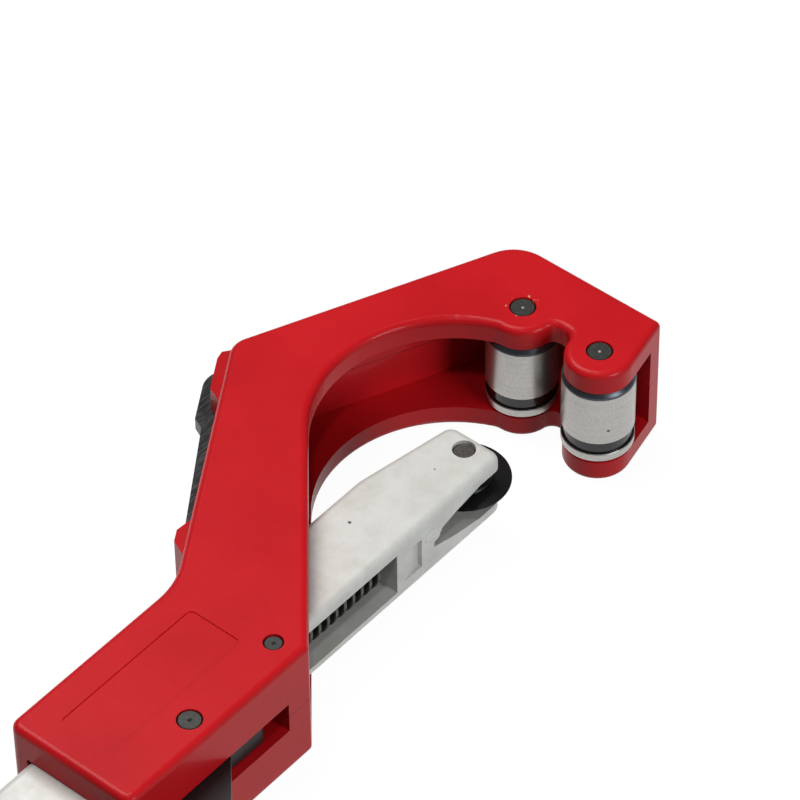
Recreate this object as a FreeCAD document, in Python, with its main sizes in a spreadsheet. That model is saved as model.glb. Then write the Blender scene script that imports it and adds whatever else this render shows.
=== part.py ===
"""Quick-acting pipe cutter, lying on its side: cast C-frame, feed slide, wheel, rollers, reamer.

Millimetres. +X runs along the slide towards the jaw, +Y towards the C-frame's spine and +Z up
out of the side that it lies on. The origin lies on that side, under the slide's axis, level
with the release lever's pivot pin.
"""
import FreeCAD, Part

import math
import os
import re

import Sketcher

Vector = FreeCAD.Vector
Rotation = FreeCAD.Rotation

DIMENSIONS = [
    # C-frame casting
    ("frame_thick", 30.0), ("plate_thick", 5.2), ("web_thick", 4.3), ("edge_round", 1.5),
    ("tip_reach", 14.5), ("tip_round", 0.9), ("end_angle", 12.0),
    ("apex_y", 22.48), ("apex_round", 9.0), ("arm_angle", 23.8),
    ("shoulder_back", 44.2), ("shoulder_round", 5.0), ("spine_angle", 32.1),
    ("throat_back", 33.5), ("throat_radius", 28.4), ("inner_angle", 40.9),
    ("neck_round", 18.0), ("channel_rear", 30.0), ("channel_round", 3.0),
    ("house_left", 13.5), ("house_right", 16.8), ("house_rear", 22.2), ("house_round", 2.4),
    ("label_front", 20.6), ("label_rear", 15.6), ("label_half", 6.4), ("label_deep", 0.25),
    ("label_round", 1.2),
    # rollers and their pins
    ("roller_x", 124.0), ("roller_pitch", 19.6), ("roller_radius", 7.5), ("roller_gap", 0.2),
    ("roller_chamfer", 0.9), ("groove_up", 2.6), ("groove_wide", 3.0), ("groove_deep", 0.5),
    ("boss_radius", 7.1), ("notch_in", 0.7), ("notch_round", 2.2), ("throat_blend", 4.0),
    ("roller_pin_radius", 2.75), ("pin_chamfer", 0.4), ("pin_sink", 0.15),
    ("dimple_radius", 0.45), ("dimple_deep", 0.4),
    # housing pins
    ("pivot_y", 11.8), ("pivot_radius", 2.55), ("guide_x", 24.3), ("guide_radius", 2.05),
    ("guide_gap", 0.25), ("guide_sink", 0.3),
    # fits
    ("run_gap", 0.06), ("press_gap", 0.01), ("slide_gap", 0.3),
    # slide
    ("slide_half", 8.8), ("slide_high", 15.6), ("slide_front", 95.2), ("slide_rear", 37.0),
    ("slide_round", 1.7), ("tip_corner", 2.6),
    ("taper_start", 72.0), ("taper_end_y", 4.6), ("channel_high", 10.4), ("back_wall", 5.2),
    ("window_front", 62.8), ("window_rear", 25.0), ("ramp_start", 65.0), ("ramp_end", 70.2),
    ("ramp_deep", 1.0), ("ramp_high", 7.6),
    ("wheel_x", 91.3), ("feed_y", -2.0), ("pocket_high", 9.2), ("pocket_mid", 6.4),
    ("pocket_narrow", 2.8), ("pocket_rear", 74.0), ("pocket_flare", 80.5), ("pocket_full", 88.0),
    # cutter wheel and its pin
    ("wheel_radius", 9.5), ("wheel_pin_radius", 2.4), ("hub_radius", 5.4), ("hub_high", 7.8),
    ("disc_thick", 1.5), ("bevel_wide", 2.2), ("edge_land", 0.12),
    ("wheel_pin_sink", 0.6), ("pin_head_radius", 4.0), ("pin_head_high", 1.5), ("head_gap", 0.15),
    ("slot_wide", 1.0), ("slot_deep", 0.7),
    # feed screw, knob and what holds them
    ("thread_radius", 4.75), ("thread_root", 3.7), ("thread_pitch", 2.5), ("thread_crest", 0.7),
    ("thread_base", 1.5), ("thread_front", 62.0), ("thread_rear", 9.5),
    ("spigot_radius", 2.4), ("spigot_long", 4.0), ("shank_radius", 3.4),
    ("ring_radius", 4.8), ("ring_thick", 0.9), ("ring_groove", 0.8), ("ring_mouth", 3.6),
    ("washer_radius", 6.6), ("washer_thick", 1.0),
    ("knob_radius", 14.3), ("knob_long", 34.0), ("knob_shoulder", 3.0), ("knob_rib", 1.1),
    ("knob_ribs", 18.0), ("store_radius", 10.2), ("store_deep", 11.2),
    ("knob_pin_radius", 1.5), ("knob_pin_back", 9.0), ("knob_pin_sink", 1.6), ("knob_grip", 17.0),
    ("knob_neck", 11.0), ("cap_thick", 3.0), ("cap_gap", 0.08), ("coin_slot", 1.6), ("coin_deep", 1.2),
    # release lever and its spring
    ("lever_thick", 6.6), ("lever_slot", 7.4), ("slot_front", 21.7), ("slot_rear", 15.0),
    ("lever_hub", 4.3), ("nose_front", 17.3), ("nose_rear", 9.6), ("nose_outer", 14.9),
    ("nose_inner", 1.9), ("nut_gap", 0.28), ("wing_angle", 42.0), ("wing_root", 5.2),
    ("wing_back", 12.2), ("wing_long", 24.0), ("pad_long", 17.0), ("pad_thick", 5.0),
    ("pad_lean", 12.0), ("pad_high", 14.0), ("seat_wall", 2.2), ("lever_round", 0.8),
    ("lever_fall", 1.6), ("spring_x", 8.5), ("spring_radius", 1.5), ("spring_wire", 0.25),
    ("spring_turns", 5.0), ("spring_hole", 2.1), ("spring_floor", 16.4), ("spring_end", 0.12),
    # reamer on the spine
    ("rib_high", 16.0), ("rib_out", 3.4), ("rib_start", 6.5), ("rib_end", 54.0),
    ("rib_low", 1.2), ("rib_dip_start", 10.0), ("rib_dip_end", 43.0),
    ("reamer_slot_end", 42.0), ("reamer_slot", 3.6), ("reamer_thick", 3.0),
    ("reamer_along", 0.4), ("reamer_out", 0.9), ("reamer_hub", 5.4), ("reamer_shoulder", 11.0),
    ("reamer_edge", 4.6), ("reamer_back", -3.4), ("reamer_tip", 40.0), ("reamer_tip_out", 3.2),
    ("reamer_pin_radius", 1.5), ("reamer_pin_sink", 0.4), ("reamer_washer", 0.3),
    ("reamer_washer_radius", 3.6), ("reamer_lift", 0.1),
]

NAMES = [name for name, value in DIMENSIONS]
WORD = re.compile(r"\b(" + "|".join(NAMES) + r")\b")

doc = FreeCAD.newDocument("pipe_cutter")
sheet = doc.addObject("Spreadsheet::Sheet", "Dims")


def fill_sheet():
    """Write each driving dimension into a cell with its alias."""
    for row, (name, value) in enumerate(DIMENSIONS, start=1):
        sheet.set(f"A{row}", name)
        sheet.set(f"B{row}", str(value))
        sheet.setAlias(f"B{row}", name)
    doc.recompute()


def formula(text):
    """Turn a formula in dimension names into one that reads the sheet."""
    return WORD.sub(r"Dims.\1", text)


def value(text):
    """The present value of a formula, as a plain number."""
    number = sheet.evalExpression(formula(text))
    return float(getattr(number, "Value", number))


def bind(thing, prop, text):
    """Tie a property to a formula in the sheet's dimensions."""
    thing.setExpression(prop, formula(text))


def place(thing, x="0", y="0", z="0", axis=None, angle=0.0):
    """Place a sub-part, turned by a fixed angle about an axis, at formulas for its origin."""
    turn = Rotation(axis, angle) if axis else Rotation()
    thing.Placement = FreeCAD.Placement(Vector(value(x), value(y), value(z)), turn)
    for letter, text in zip("xyz", (x, y, z)):
        bind(thing, f"Placement.Base.{letter}", text)


# ---------------------------------------------------------------- sketches and features


def new_body(name):
    """An empty body whose label is its node's name."""
    body = doc.addObject("PartDesign::Body", "Body_" + name)
    body.Label = name
    return body


def plane_of(body, role):
    """The body's own origin plane of that role."""
    return [f for f in body.Origin.OriginFeatures if f.Role == role][0]


def new_sketch(body, role, lift=None):
    """A sketch on an origin plane, lifted along its normal by a formula."""
    sketch = body.newObject("Sketcher::SketchObject", "Sketch")
    sketch.AttachmentSupport = [(plane_of(body, role), "")]
    sketch.MapMode = "FlatFace"
    if lift:
        sketch.AttachmentOffset = FreeCAD.Placement(Vector(0, 0, value(lift)), Rotation())
        bind(sketch, "AttachmentOffset.Base.z", lift)
    return sketch


def pin_point(sketch, geo, pos, x, y):
    """Hold a sketch point at formulas for its two coordinates."""
    for kind, axis, text in (("DistanceX", -2, x), ("DistanceY", -1, y)):
        number = value(text)
        if abs(number) < 1e-9:
            sketch.addConstraint(Sketcher.Constraint("PointOnObject", geo, pos, axis))
            continue
        index = sketch.addConstraint(Sketcher.Constraint(kind, -1, 1, geo, pos, number))
        bind(sketch, f"Constraints[{index}]", text)


def draw_polygon(sketch, points):
    """A closed outline through points given as pairs of formulas."""
    corners = [Vector(value(x), value(y), 0) for x, y in points]
    first = sketch.GeometryCount
    count = len(points)
    for i in range(count):
        sketch.addGeometry(Part.LineSegment(corners[i], corners[(i + 1) % count]), False)
    for i in range(count):
        ahead = first + (i + 1) % count
        sketch.addConstraint(Sketcher.Constraint("Coincident", first + i, 2, ahead, 1))
    for i, (x, y) in enumerate(points):
        pin_point(sketch, first + i, 1, x, y)


def draw_circle(sketch, x, y, radius):
    """A circle at formulas for its centre and radius."""
    centre = Vector(value(x), value(y), 0)
    geo = sketch.addGeometry(Part.Circle(centre, Vector(0, 0, 1), value(radius)), False)
    index = sketch.addConstraint(Sketcher.Constraint("Radius", geo, value(radius)))
    bind(sketch, f"Constraints[{index}]", radius)
    pin_point(sketch, geo, 3, x, y)


def pad(body, sketch, length, midplane=False):
    """Add material along the sketch's normal."""
    feature = body.newObject("PartDesign::Pad", "Pad")
    feature.Profile = sketch
    feature.Midplane = midplane
    feature.Length = value(length)
    bind(feature, "Length", length)
    doc.recompute()
    return feature


def pocket(body, sketch, length=None, midplane=False, reverse=False):
    """Cut material, through all or to a length; the volume must fall."""
    before = body.Shape.Volume
    feature = body.newObject("PartDesign::Pocket", "Pocket")
    feature.Profile = sketch
    feature.Midplane = midplane
    feature.Reversed = reverse
    if length is None:
        feature.Type = "ThroughAll"
    else:
        feature.Length = value(length)
        bind(feature, "Length", length)
    doc.recompute()
    if body.Shape.Volume > before - 1e-3:
        raise RuntimeError(f"a pocket in {body.Label} cuts nothing")
    return feature


def revolve(body, sketch):
    """Turn the sketch about its own vertical axis."""
    feature = body.newObject("PartDesign::Revolution", "Revolution")
    feature.Profile = sketch
    feature.ReferenceAxis = (sketch, ["V_Axis"])
    feature.Angle = 360
    doc.recompute()
    return feature


def dress(body, kind, edges, size):
    """Fillet or chamfer named edges or faces of the body's last feature."""
    base = body.Tip
    feature = body.newObject("PartDesign::" + kind, kind)
    feature.Base = (base, edges)
    prop = "Radius" if kind == "Fillet" else "Size"
    setattr(feature, prop, value(size))
    bind(feature, prop, size)
    doc.recompute()
    return feature


def upright_edges(body, spots, near=0.05):
    """Names of the body's Z-parallel edges that stand at the given spots."""
    wanted = [(value(x), value(y)) for x, y in spots]
    names = []
    for i, edge in enumerate(body.Shape.Edges, start=1):
        a = edge.Vertexes[0].Point
        b = edge.Vertexes[-1].Point
        if abs(a.x - b.x) + abs(a.y - b.y) > 1e-6 or abs(a.z - b.z) < 1e-6:
            continue
        if any(math.hypot(a.x - x, a.y - y) < near for x, y in wanted):
            names.append(f"Edge{i}")
    return names


def flat_faces(body, height):
    """Names of the body's horizontal faces at a height."""
    names = []
    for i, face in enumerate(body.Shape.Faces, start=1):
        box = face.BoundBox
        if box.ZLength < 1e-6 and abs(box.ZMin - height) < 1e-6:
            names.append(f"Face{i}")
    return names


def turned(name, outline):
    """A solid of revolution about local Z from (radius, height) formulas."""
    body = new_body(name)
    sketch = new_sketch(body, "XZ_Plane")
    draw_polygon(sketch, outline)
    revolve(body, sketch)
    return body


# ---------------------------------------------------------------- shared formulas

MID = "frame_thick / 2"
APEX_X = "(roller_x + tip_reach)"
SHOULDER_X = "(roller_x - shoulder_back)"
SHOULDER_Y = "(apex_y + (tip_reach + shoulder_back) * tan(arm_angle))"
NECK_X = f"({SHOULDER_X} - ({SHOULDER_Y} - house_left) / tan(spine_angle))"
THROAT_X = "(roller_x - throat_back)"
TANGENT_X = f"({THROAT_X} - throat_radius * sin(inner_angle))"
TANGENT_Y = "(throat_radius * cos(inner_angle))"
CORNER_X = f"({TANGENT_X} - (house_right + {TANGENT_Y}) / tan(inner_angle))"
ROLLER_Y = "(roller_pitch / 2)"
END_X = "(roller_x + boss_radius * sin(end_angle))"
END_Y = "(-roller_pitch / 2 - boss_radius * cos(end_angle))"
TIP_Y = f"({END_Y} + (tip_reach - boss_radius * sin(end_angle)) * tan(end_angle))"
SEAT_Y = "(-slide_half - slide_gap - seat_wall)"
GUIDE_Y = "(-slide_half - guide_gap - guide_radius)"
ROLLER_LONG = "(frame_thick - 2 * plate_thick - 2 * roller_gap)"


def on_spine(along, out):
    """A plan point at a distance along the spine's outer face from the shoulder, and out of it."""
    x = f"{SHOULDER_X} - ({along}) * cos(spine_angle) - ({out}) * sin(spine_angle)"
    y = f"{SHOULDER_Y} - ({along}) * sin(spine_angle) + ({out}) * cos(spine_angle)"
    return x, y


# ---------------------------------------------------------------- C-frame


def frame_blank(body):
    """The casting's outline in plan, its corners rounded, with the throat and roller bosses."""
    sketch = new_sketch(body, "XY_Plane")
    outline = [
        (APEX_X, TIP_Y), (APEX_X, "apex_y"), (SHOULDER_X, SHOULDER_Y), (NECK_X, "house_left"),
        ("-house_rear", "house_left"), ("-house_rear", "-house_right"),
        (CORNER_X, "-house_right"), (TANGENT_X, TANGENT_Y),
        ("roller_x + notch_in", f"{ROLLER_Y} - boss_radius * 0.55"),
        ("roller_x + notch_in", "-roller_pitch / 2"), (END_X, END_Y),
    ]
    draw_polygon(sketch, outline)
    pad(body, sketch, "frame_thick")
    dress(body, "Fillet", upright_edges(body, [outline[1]]), "apex_round")
    dress(body, "Fillet", upright_edges(body, [outline[2]]), "shoulder_round")
    dress(body, "Fillet", upright_edges(body, [outline[3]]), "neck_round")
    dress(body, "Fillet", upright_edges(body, [outline[4], outline[5]]), "house_round")
    dress(body, "Fillet", upright_edges(body, [outline[0], outline[6]]), "tip_round")
    throat = new_sketch(body, "XY_Plane")
    draw_circle(throat, THROAT_X, "0", "throat_radius")
    pocket(body, throat, reverse=True)
    for side in ("", "-"):
        boss = new_sketch(body, "XY_Plane")
        draw_circle(boss, "roller_x", f"{side}roller_pitch / 2", "boss_radius")
        pad(body, boss, "frame_thick")


BOSS_REACH = "sqrt(boss_radius * boss_radius - notch_in * notch_in)"
NOTCH_HALF = f"(roller_pitch / 2 - {BOSS_REACH})"


def notch_spots():
    """Where the edge between the rollers meets the two bosses."""
    return [("roller_x + notch_in", NOTCH_HALF), ("roller_x + notch_in", f"-{NOTCH_HALF}")]


def throat_end():
    """Where the throat's arc runs into the far roller's boss."""
    apart = "sqrt(throat_back * throat_back + roller_pitch * roller_pitch / 4)"
    along = (f"((throat_radius * throat_radius - boss_radius * boss_radius"
             f" + {apart} * {apart}) / (2 * {apart}))")
    off = f"sqrt(throat_radius * throat_radius - {along} * {along})"
    x = f"{THROAT_X} + ({along} * throat_back - {off} * roller_pitch / 2) / {apart}"
    y = f"({along} * roller_pitch / 2 + {off} * throat_back) / {apart}"
    return x, y


def frame_hollows(body):
    """The channel between the side plates, the slide's bore, and the release lever's slot."""
    inner_x = f"({APEX_X} - web_thick)"
    drop = "web_thick / cos(arm_angle)"
    inner_apex = f"(apex_y - {drop} + web_thick * tan(arm_angle))"
    spine_in = on_spine("0", "-web_thick")
    # the inner faces of the arm and the spine meet on the shoulder's bisector
    half = "(arm_angle + spine_angle) / 2"
    meet = on_spine(f"web_thick * tan({half})", "-web_thick")
    neck_y = f"({spine_in[1]} - ({spine_in[0]} - channel_rear) * tan(spine_angle))"
    channel = new_sketch(body, "XY_Plane", MID)
    draw_polygon(channel, [
        (inner_x, "-3 * house_right"), (inner_x, inner_apex), meet,
        ("channel_rear", neck_y), ("channel_rear", "-3 * house_right"),
    ])
    pocket(body, channel, "frame_thick - 2 * plate_thick", midplane=True)
    rounds = upright_edges(body, [(inner_x, inner_apex), meet, ("channel_rear", neck_y)])
    dress(body, "Fillet", rounds, "channel_round")
    bore = new_sketch(body, "XY_Plane", MID)
    draw_polygon(bore, [
        ("-house_rear - 1", "-slide_half - slide_gap"), ("channel_rear + 1", "-slide_half - slide_gap"),
        ("channel_rear + 1", "slide_half + slide_gap"), ("-house_rear - 1", "slide_half + slide_gap"),
    ])
    pocket(body, bore, "slide_high + 2 * slide_gap", midplane=True)
    slot = new_sketch(body, "XY_Plane", MID)
    draw_polygon(slot, [
        ("-slot_rear", "-house_right - 1"), ("slot_front", "-house_right - 1"),
        ("slot_front", "-slide_half"), ("-lever_hub - 0.6", "-slide_half"),
        ("-lever_hub - 0.6", SEAT_Y), ("-slot_rear", SEAT_Y),
    ])
    pocket(body, slot, "lever_slot", midplane=True)


def frame_holes(body):
    """Holes for the roller pins, the lever's pivot pin and the guide pin, and the blank label."""
    holes = new_sketch(body, "XY_Plane")
    draw_circle(holes, "roller_x", ROLLER_Y, "roller_pin_radius + press_gap")
    draw_circle(holes, "roller_x", f"-{ROLLER_Y}", "roller_pin_radius + press_gap")
    draw_circle(holes, "0", "-pivot_y", "pivot_radius + press_gap")
    draw_circle(holes, "guide_x", GUIDE_Y, "guide_radius + press_gap")
    pocket(body, holes, reverse=True)
    label = new_sketch(body, "XY_Plane", "frame_thick")
    corners = [("-label_rear", "-label_half"), ("label_front", "-label_half"),
               ("label_front", "label_half"), ("-label_rear", "label_half")]
    draw_polygon(label, corners)
    pocket(body, label, "label_deep")
    dress(body, "Fillet", upright_edges(body, corners), "label_round")


def frame_reamer_seat(body):
    """The rib on the spine that carries the folding reamer, its slot and its pin hole."""
    slot = new_sketch(body, "XY_Plane", MID)
    draw_polygon(slot, [
        on_spine("-rib_start - 6", "-3 * web_thick"), on_spine("reamer_slot_end", "-3 * web_thick"),
        on_spine("reamer_slot_end", "rib_out + 2"), on_spine("-rib_start - 6", "rib_out + 2"),
    ])
    pocket(body, slot, "reamer_slot", midplane=True)
    hole = new_sketch(body, "XY_Plane", MID)
    draw_circle(hole, *on_spine("reamer_along", "reamer_out"), "reamer_pin_radius + press_gap")
    pocket(body, hole, "rib_high - 2 * reamer_pin_sink", midplane=True)


def frame_rib(body):
    """The raised rib on the spine's outer face, dipped between its two ends."""
    rib = new_sketch(body, "XY_Plane", MID)
    draw_polygon(rib, [
        on_spine("-rib_start + 1", "-web_thick / 2"), on_spine("-rib_start + 3", "rib_out - 0.6"),
        on_spine("-rib_start + 5", "rib_out"), on_spine("rib_dip_start - 3", "rib_out"),
        on_spine("rib_dip_start", "rib_low"), on_spine("rib_dip_end", "rib_low"),
        on_spine("rib_dip_end + 3", "rib_out"), on_spine("rib_end - 5", "rib_out"),
        on_spine("rib_end", "0"), on_spine("rib_end", "-web_thick / 2"),
    ])
    pad(body, rib, "rib_high", midplane=True)


def make_frame():
    """The one-piece C-frame casting."""
    body = new_body("frame")
    frame_blank(body)
    dress(body, "Fillet", upright_edges(body, notch_spots()), f"min(notch_round; 0.85 * {NOTCH_HALF})")
    dress(body, "Fillet", upright_edges(body, [throat_end()]), "throat_blend")
    dress(body, "Fillet", flat_faces(body, 0.0) + flat_faces(body, value("frame_thick")), "edge_round")
    frame_rib(body)
    frame_hollows(body)
    frame_holes(body)
    frame_reamer_seat(body)
    return body


# ---------------------------------------------------------------- rollers and pins


def make_pin(name, radius, length):
    """A plain round pin with chamfered, centre-marked ends, standing on local z = 0."""
    return turned(name, [
        ("0", "dimple_deep"), ("dimple_radius", "0"), (f"{radius} - pin_chamfer", "0"),
        (radius, "pin_chamfer"), (radius, f"{length} - pin_chamfer"),
        (f"{radius} - pin_chamfer", length), ("dimple_radius", length),
        ("0", f"{length} - dimple_deep"),
    ])


def make_roller(name, y):
    """A guide roller with a flare groove near its lower end."""
    bore = "roller_pin_radius + run_gap"
    groove_top = "groove_up + groove_wide"
    body = turned(name, [
        (bore, "0"), ("roller_radius - roller_chamfer", "0"), ("roller_radius", "roller_chamfer"),
        ("roller_radius", "groove_up"), ("roller_radius - groove_deep", "groove_up"),
        ("roller_radius - groove_deep", groove_top), ("roller_radius", groove_top),
        ("roller_radius", f"{ROLLER_LONG} - roller_chamfer"),
        ("roller_radius - roller_chamfer", ROLLER_LONG), (bore, ROLLER_LONG),
    ])
    place(body, "roller_x", y, "plate_thick + roller_gap")


def make_frame_pins():
    """The pins through the casting: two for the rollers, the lever's pivot and the guide pin."""
    through = "(frame_thick - 2 * pin_sink)"
    for name, y in (("roller_pin_far", ROLLER_Y), ("roller_pin_near", f"-{ROLLER_Y}")):
        place(make_pin(name, "roller_pin_radius", through), "roller_x", y, "pin_sink")
    place(make_pin("lever_pivot_pin", "pivot_radius", through), "0", "-pivot_y", "pin_sink")
    guide = make_pin("guide_pin", "guide_radius", "(frame_thick - 2 * guide_sink)")
    place(guide, "guide_x", GUIDE_Y, "guide_sink")


# ---------------------------------------------------------------- slide


def slide_bar(body):
    """The cast bar: straight behind, its head tapered on the spine's side, edges rounded."""
    sketch = new_sketch(body, "XY_Plane", MID)
    outline = [
        ("-slide_rear", "-slide_half"), ("slide_front", "-slide_half"),
        ("slide_front", "taper_end_y"), ("taper_start", "slide_half"),
        ("-slide_rear", "slide_half"),
    ]
    draw_polygon(sketch, outline)
    pad(body, sketch, "slide_high", midplane=True)
    dress(body, "Fillet", upright_edges(body, [outline[1], outline[2]]), "tip_corner")
    dress(body, "Fillet", upright_edges(body, [outline[3]]), "tip_corner * 5")
    low = value(f"{MID} - slide_high / 2")
    high = value(f"{MID} + slide_high / 2")
    dress(body, "Fillet", flat_faces(body, low) + flat_faces(body, high), "slide_round")


def slide_hollows(body):
    """The screw's channel, the wheel's pocket, the ramp that ends the window, and the bores."""
    channel = new_sketch(body, "XY_Plane", MID)
    draw_polygon(channel, [
        ("-window_rear", "-slide_half - 1"), ("window_front", "-slide_half - 1"),
        ("window_front", "slide_half - back_wall"), ("-window_rear", "slide_half - back_wall"),
    ])
    pocket(body, channel, "channel_high", midplane=True)
    fork = new_sketch(body, "XZ_Plane")
    draw_polygon(fork, [
        ("pocket_rear", f"{MID} - pocket_narrow / 2"), ("pocket_flare", f"{MID} - pocket_mid / 2"),
        ("pocket_full", f"{MID} - pocket_high / 2"), ("slide_front + 1", f"{MID} - pocket_high / 2"),
        ("slide_front + 1", f"{MID} + pocket_high / 2"), ("pocket_full", f"{MID} + pocket_high / 2"),
        ("pocket_flare", f"{MID} + pocket_mid / 2"), ("pocket_rear", f"{MID} + pocket_narrow / 2"),
    ])
    pocket(body, fork, "4 * slide_half", midplane=True)
    ramp = new_sketch(body, "XY_Plane", MID)
    draw_polygon(ramp, [
        ("ramp_start", "-slide_half - 1"), ("ramp_start", "-slide_half + 0.02"),
        ("ramp_end", "-slide_half + ramp_deep"), ("ramp_end", "-slide_half - 1"),
    ])
    pocket(body, ramp, "ramp_high", midplane=True)
    rear = new_sketch(body, "YZ_Plane", "-slide_rear - 1")
    draw_circle(rear, "feed_y", MID, "shank_radius + run_gap")
    pocket(body, rear, "slide_rear - window_rear + 2", reverse=True)
    front = new_sketch(body, "YZ_Plane", "window_front - 1")
    draw_circle(front, "feed_y", MID, "spigot_radius + run_gap")
    pocket(body, front, "spigot_long + 1", reverse=True)


def make_slide():
    """The hollow cast slide that carries the feed screw and the cutter wheel."""
    body = new_body("slide")
    slide_bar(body)
    slide_hollows(body)
    hole = new_sketch(body, "XY_Plane", MID)
    draw_circle(hole, "wheel_x", "feed_y", "wheel_pin_radius + press_gap")
    pocket(body, hole, "slide_high + 2", midplane=True)
    sink = new_sketch(body, "XY_Plane", f"{MID} - slide_high / 2 - 1")
    draw_circle(sink, "wheel_x", "feed_y", "pin_head_radius + head_gap")
    pocket(body, sink, "pin_head_high + head_gap + 1.02", reverse=True)
    doc.recompute()


def make_wheel(name):
    """A cutter wheel: a thin bevelled disc on a hub, about local Z and centred on it."""
    bore = "wheel_pin_radius + run_gap"
    half = "disc_thick / 2"
    return turned(name, [
        (bore, "-hub_high / 2"), ("hub_radius", "-hub_high / 2"), ("hub_radius", f"-{half}"),
        ("wheel_radius - bevel_wide", f"-{half}"), ("wheel_radius", "-edge_land / 2"),
        ("wheel_radius", "edge_land / 2"), ("wheel_radius - bevel_wide", half),
        ("hub_radius", half), ("hub_radius", "hub_high / 2"), (bore, "hub_high / 2"),
    ])


def cut_driver_slot(body, wide, deep, reach):
    """A straight driver slot across the face at local z = 0."""
    slot = new_sketch(body, "XY_Plane")
    draw_polygon(slot, [(f"-{reach}", f"-{wide} / 2"), (reach, f"-{wide} / 2"),
                        (reach, f"{wide} / 2"), (f"-{reach}", f"{wide} / 2")])
    pocket(body, slot, deep, reverse=True)


def make_wheel_pin():
    """The wheel's pin, headed below and sunk in the upper prong."""
    top = "(slide_high - head_gap - wheel_pin_sink)"
    body = turned("wheel_pin", [
        ("0", "0"), ("pin_head_radius", "0"), ("pin_head_radius", "pin_head_high"),
        ("wheel_pin_radius", "pin_head_high"), ("wheel_pin_radius", f"{top} - pin_chamfer"),
        ("wheel_pin_radius - pin_chamfer", top), ("0", top),
    ])
    cut_driver_slot(body, "slot_wide", "slot_deep", "(pin_head_radius + 1)")
    place(body, "wheel_x", "feed_y", f"{MID} - slide_high / 2 + head_gap")


# ---------------------------------------------------------------- feed screw and knob

KNOB_FRONT = "(-slide_rear - washer_thick)"
KNOB_REAR = "(-slide_rear - washer_thick - knob_long)"
RING_X = "(0.15 - window_rear)"


def along_x(body, x="0"):
    """Lay a body's local Z along the slide's axis."""
    place(body, x, "feed_y", MID, Vector(0, 1, 0), 90)


def add_thread(body, root, crest, flat, base, start, end):
    """A helical trapezoid ridge on a turned core."""
    profile = new_sketch(body, "XZ_Plane")
    sunk = f"({root} - 0.15)"
    draw_polygon(profile, [
        (sunk, f"{start} - {base} / 2"), (crest, f"{start} - {flat} / 2"),
        (crest, f"{start} + {flat} / 2"), (sunk, f"{start} + {base} / 2"),
    ])
    doc.recompute()
    helix = body.newObject("PartDesign::AdditiveHelix", "Thread")
    helix.Profile = profile
    helix.ReferenceAxis = (profile, ["V_Axis"])
    helix.Mode = 0
    helix.Pitch = value("thread_pitch")
    helix.Height = value(f"{end} - {start}")
    bind(helix, "Pitch", "thread_pitch")
    bind(helix, "Height", f"{end} - {start}")
    doc.recompute()


def make_feed_screw():
    """The feed screw: knob end, ring groove, thread and front spigot."""
    rear = f"({KNOB_FRONT} - knob_grip)"
    groove = "shank_radius - ring_groove"
    body = turned("feed_screw", [
        ("0", rear), ("shank_radius - pin_chamfer", rear), ("shank_radius", f"{rear} + pin_chamfer"),
        ("shank_radius", RING_X), (groove, RING_X), (groove, f"{RING_X} + ring_thick + 0.1"),
        ("shank_radius", f"{RING_X} + ring_thick + 0.1"), ("shank_radius", "-thread_rear"),
        ("thread_root", "-thread_rear"), ("thread_root", "thread_front"),
        ("spigot_radius", "thread_front"), ("spigot_radius", "thread_front + spigot_long"),
        ("0", "thread_front + spigot_long"),
    ])
    hole = new_sketch(body, "XZ_Plane")
    draw_circle(hole, "0", f"{KNOB_FRONT} - knob_pin_back", "knob_pin_radius + press_gap")
    pocket(body, hole, "3 * shank_radius", midplane=True)
    add_thread(body, "thread_root", "thread_radius", "thread_crest", "thread_base",
               "(1.2 - thread_rear)", "(thread_front - 1.2)")
    along_x(body)
    return body


def make_thrust_parts():
    """The washer that takes the feed thrust and the ring that keeps the screw in the slide."""
    inner = "shank_radius + run_gap"
    washer = turned("thrust_washer", [
        (inner, "0"), ("washer_radius", "0"), ("washer_radius", "washer_thick - 0.06"),
        (inner, "washer_thick - 0.06"),
    ])
    along_x(washer, f"{KNOB_FRONT} + 0.03")
    bore = "shank_radius - ring_groove + press_gap"
    ring = turned("retaining_ring", [
        (bore, "0"), ("ring_radius", "0"), ("ring_radius", "ring_thick"), (bore, "ring_thick"),
    ])
    mouth = new_sketch(ring, "XY_Plane")
    draw_polygon(mouth, [("0", "-ring_mouth / 2"), ("2 * ring_radius", "-ring_mouth / 2"),
                         ("2 * ring_radius", "ring_mouth / 2"), ("0", "ring_mouth / 2")])
    pocket(ring, mouth, "ring_thick + 1", reverse=True)
    along_x(ring, f"{RING_X} + 0.05")


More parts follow.
